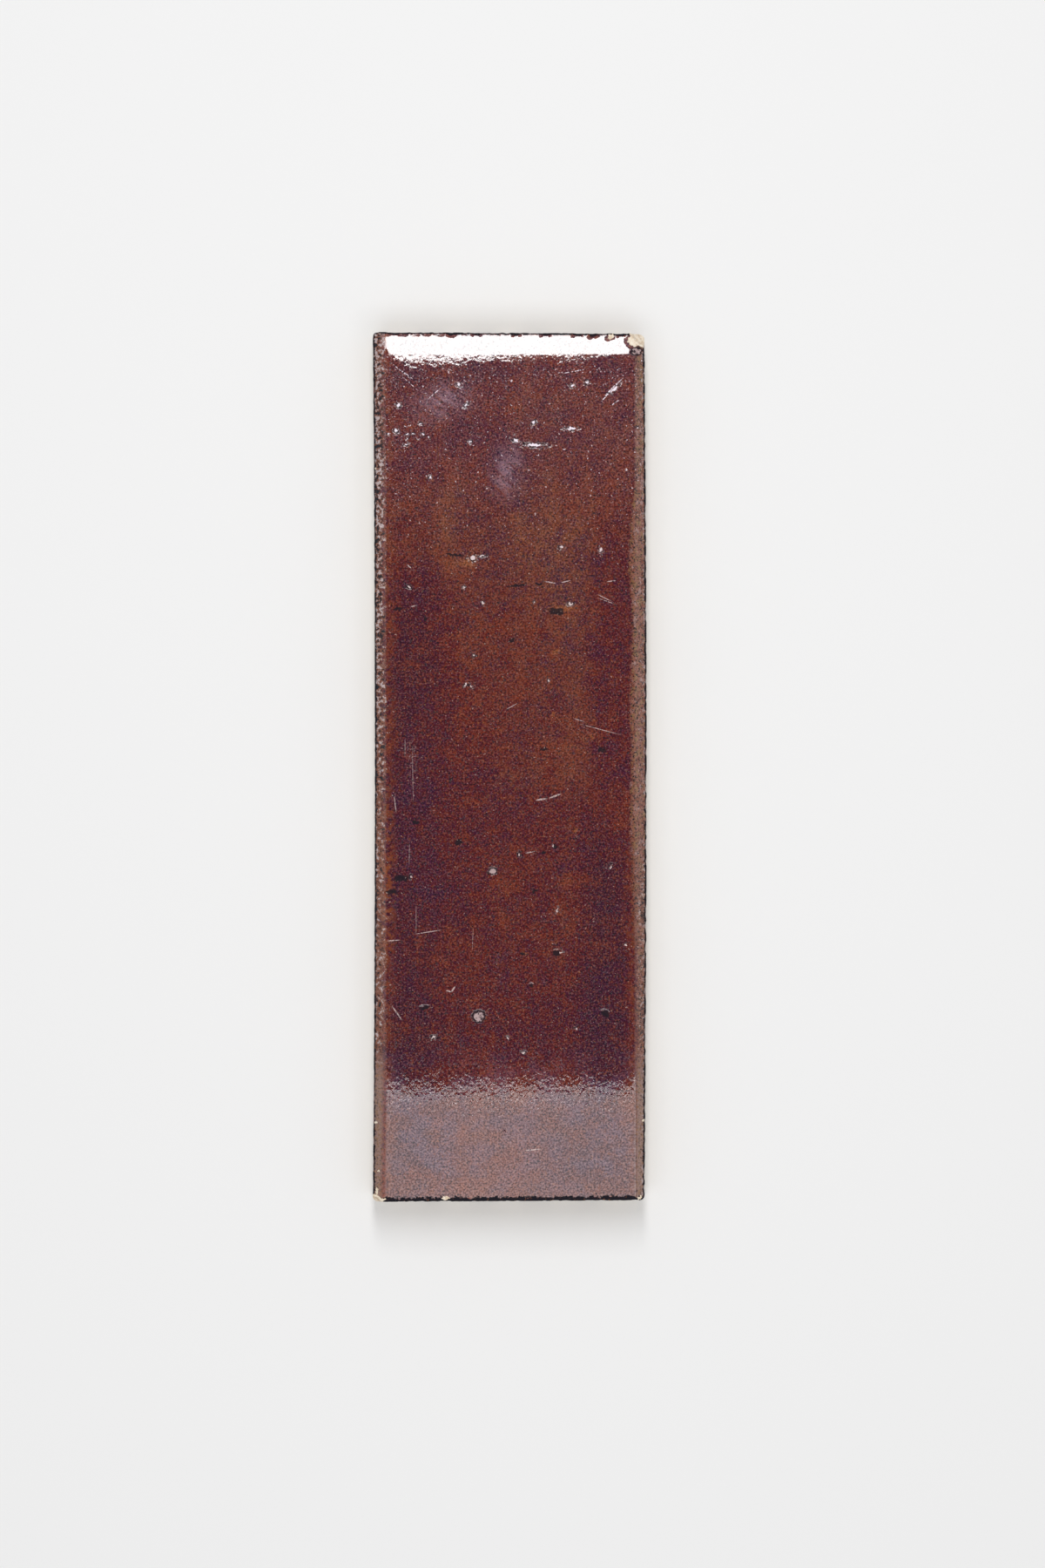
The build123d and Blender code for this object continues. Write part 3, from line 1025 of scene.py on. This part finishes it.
    def _fray(self, piece: Piece) -> None:
        """Fray the glazed arris: it only ever loses material, so the outline stays inside its own box."""
        form = self.form
        points = Bench.points(piece)
        x, y, z = points.T
        bow = form.side_bow * (0.5 - (2 * y / form.length) ** 2)
        inside = np.minimum(form.width / 2 - np.abs(x - bow), form.length / 2 - np.abs(y))
        below = form.thickness - form.drop(x, y) - z
        near = np.clip(1.3 - inside / self.fray_inward, 0.0, 1.0)
        near *= np.clip(1.3 - below / self.fray_down, 0.0, 1.0)
        lost = np.zeros(len(points))
        for index in np.flatnonzero(near):
            at = Vector(points[index])
            lost[index] = 0.15 + 0.9 * noise.noise(at * 0.8) + 0.5 * noise.noise(at * 0.23)
        Bench.weigh(piece, "arris", near * np.clip(lost, 0.0, 1.0))
        Bench.modify(
            piece,
            "DISPLACE",
            direction="NORMAL",
            mid_level=0.0,
            strength=-self.fray_loss * MM,
            vertex_group="arris",
        )
        piece.vertex_groups.clear()

    def _cut_grooves(self, piece: Piece) -> None:
        """Cut the dovetail key grooves into the bed, from end to end."""
        form = self.form
        overrun = 5.0
        below = 1.0
        slope = form.groove_undercut / form.groove_depth
        mouth_width = form.groove_mouth - 2 * below * slope
        floor_width = form.groove_mouth + 2 * form.groove_undercut
        for index in range(form.groove_count):
            centre = (index - (form.groove_count - 1) / 2) * form.groove_pitch
            bpy.ops.object.select_all(action="DESELECT")
            bpy.ops.mesh.primitive_cube_add(
                size=1.0, location=(centre * MM, 0, (form.groove_depth - below) / 2 * MM)
            )
            cutter = bpy.context.active_object
            cutter.scale = Vector((mouth_width, form.length + 2 * overrun, form.groove_depth + below)) * MM
            cutter = Bench.added("key_groove_cutter")
            for vertex in cutter.data.vertices:
                vertex.select = vertex.co.z > 0
            bpy.ops.object.mode_set(mode="EDIT")
            bpy.ops.transform.resize(
                value=(floor_width / mouth_width, 1.0, 1.0), center_override=(centre * MM, 0, 0)
            )
            bpy.ops.object.mode_set(mode="OBJECT")
            Bench.cut(piece, cutter)

    def _break_corners(self, piece: Piece) -> None:
        """Break the two chipped corners off with roughened balls."""
        rough = bpy.data.textures.new("rough_break", "CLOUDS")
        rough.noise_scale = self.break_grain * MM
        for centre in self.form.chip_centres():
            bpy.ops.object.select_all(action="DESELECT")
            bpy.ops.mesh.primitive_ico_sphere_add(
                subdivisions=6, radius=self.form.chip_radius * MM, location=centre * MM
            )
            ball = Bench.added("corner_break")
            Bench.modify(
                ball,
                "DISPLACE",
                texture=rough,
                texture_coords="LOCAL",
                mid_level=0.5,
                strength=self.break_height * MM,
            )
            Bench.cut(piece, ball)

    def dress(self, piece: Piece, finish: BrickFinish) -> None:
        """Give the tile its finish and its place in the frame.

        Args:
            piece: the finished mesh object.
            finish: the glaze and clay.
        """
        piece.data.materials.clear()
        piece.data.materials.append(finish.make())
        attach(piece, "root")
        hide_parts(TILE_NODE)


@dataclass(frozen=True)
class Lamp:
    """A rectangular lamp: tilt 0 faces down, turn is about the upright, and radiance 1 is white."""

    name: str
    place: tuple[float, float, float]
    size: Span
    radiance: float
    tilt: float = 0.0
    turn: float = 0.0

    def hang(self) -> None:
        """Add the lamp, hidden from the camera."""
        rotation = (math.radians(self.tilt), 0, math.radians(self.turn))
        bpy.ops.object.light_add(type="AREA", location=self.place, rotation=rotation)
        lamp = bpy.context.active_object
        lamp.name = self.name
        lamp.data.shape = "RECTANGLE"
        lamp.data.size, lamp.data.size_y = self.size
        lamp.data.energy = self.radiance * math.pi * self.size[0] * self.size[1]
        lamp.visible_camera = False


@dataclass
class Studio:
    """The pale floor, the lamps and the camera that looks straight down on the tile; lengths in metres."""

    face_height: float
    frame_long_side: float = 0.3656
    aim: Span = (0.0030, -0.0040)
    camera_height: float = 1.2
    sensor: float = 36.0
    floor_size: float = 8.0
    floor_colour: Colour = (0.86, 0.86, 0.86)
    floor_gap: float = 0.0002
    ceiling: float = 0.06
    walls: float = 0.74
    horizon: float = 0.34
    shown: float = 0.9
    lamps: tuple[Lamp, ...] = (
        Lamp("head_lamp", (-0.0075, 0.467, 0.90), (0.14, 0.63), 14.5, tilt=-24.6, turn=3.0),
        Lamp("foot_card", (0.0, -0.3847, 1.013), (1.0, 0.5), 2.2),
        Lamp("foot_card_rim", (0.0, -0.1357, 1.0125), (1.0, 0.0018), 5.0),
    )

    def build(self) -> None:
        """Set up everything round the tile."""
        bpy.context.scene.view_settings.view_transform = "Standard"
        self._floor()
        self._world()
        for lamp in self.lamps:
            lamp.hang()
        self._camera()

    def _floor(self) -> None:
        """Lay the pale floor just under the bed."""
        bpy.ops.object.select_all(action="DESELECT")
        bpy.ops.mesh.primitive_plane_add(size=self.floor_size, location=(0, 0, -self.floor_gap))
        floor = Bench.added("floor")
        material = bpy.data.materials.new("pale_floor")
        material.use_nodes = True
        sheet = NodeSheet(material.node_tree)
        sockets = {"Base Color": (*self.floor_colour, 1.0), "Roughness": 0.9, "Specular IOR Level": 0.0}
        shader = sheet.out("BsdfPrincipled", None, sockets)
        sheet.node("OutputMaterial", None, {"Surface": shader})
        floor.data.materials.append(material)

    def _world(self) -> None:
        """Light the room from its walls, with a dim ceiling, and show it pale to the camera."""
        world = bpy.data.worlds.new("studio")
        world.use_nodes = True
        bpy.context.scene.world = world
        sheet = NodeSheet(world.node_tree)
        direction = sheet.out("TexCoord", None, None, "Generated")
        _, _, up = sheet.parts(direction)
        overhead, low_down = up.step(0.90, 0.97), up.step(0.6, 0.2)
        level = self.walls - overhead * (self.walls - self.ceiling) - low_down * (self.walls - self.horizon)
        to_camera = sheet.out("LightPath", None, None, "Is Camera Ray")
        level = level * (1 - to_camera) + to_camera * self.shown
        light = sheet.out("Background", None, {"Strength": level})
        sheet.node("OutputWorld", None, {"Surface": light})

    def _camera(self) -> None:
        """Point the camera straight down, with the frame's long side along the tile."""
        bpy.ops.object.camera_add(
            location=(*self.aim, self.face_height + self.camera_height), rotation=(0, 0, 0)
        )
        camera = bpy.context.active_object
        camera.data.sensor_width = self.sensor
        camera.data.lens = self.sensor * self.camera_height / self.frame_long_side
        bpy.context.scene.camera = camera


def main() -> None:
    """Build the tile and its studio, and log the tile's triangle count."""
    logging.basicConfig(level=logging.INFO, format="%(name)s: %(message)s")
    form = TileForm.from_frame()
    tile = GlazedTile(form)
    piece = tile.build()
    tile.dress(piece, BrickFinish(form, GlazeColours(), ClayColours()))
    triangles = sum(len(face.vertices) - 2 for face in piece.data.polygons)
    LOG.info("%s: %d triangles", piece.name, triangles)
    Studio(face_height=form.thickness * MM).build()


if __name__ == "__main__":
    main()
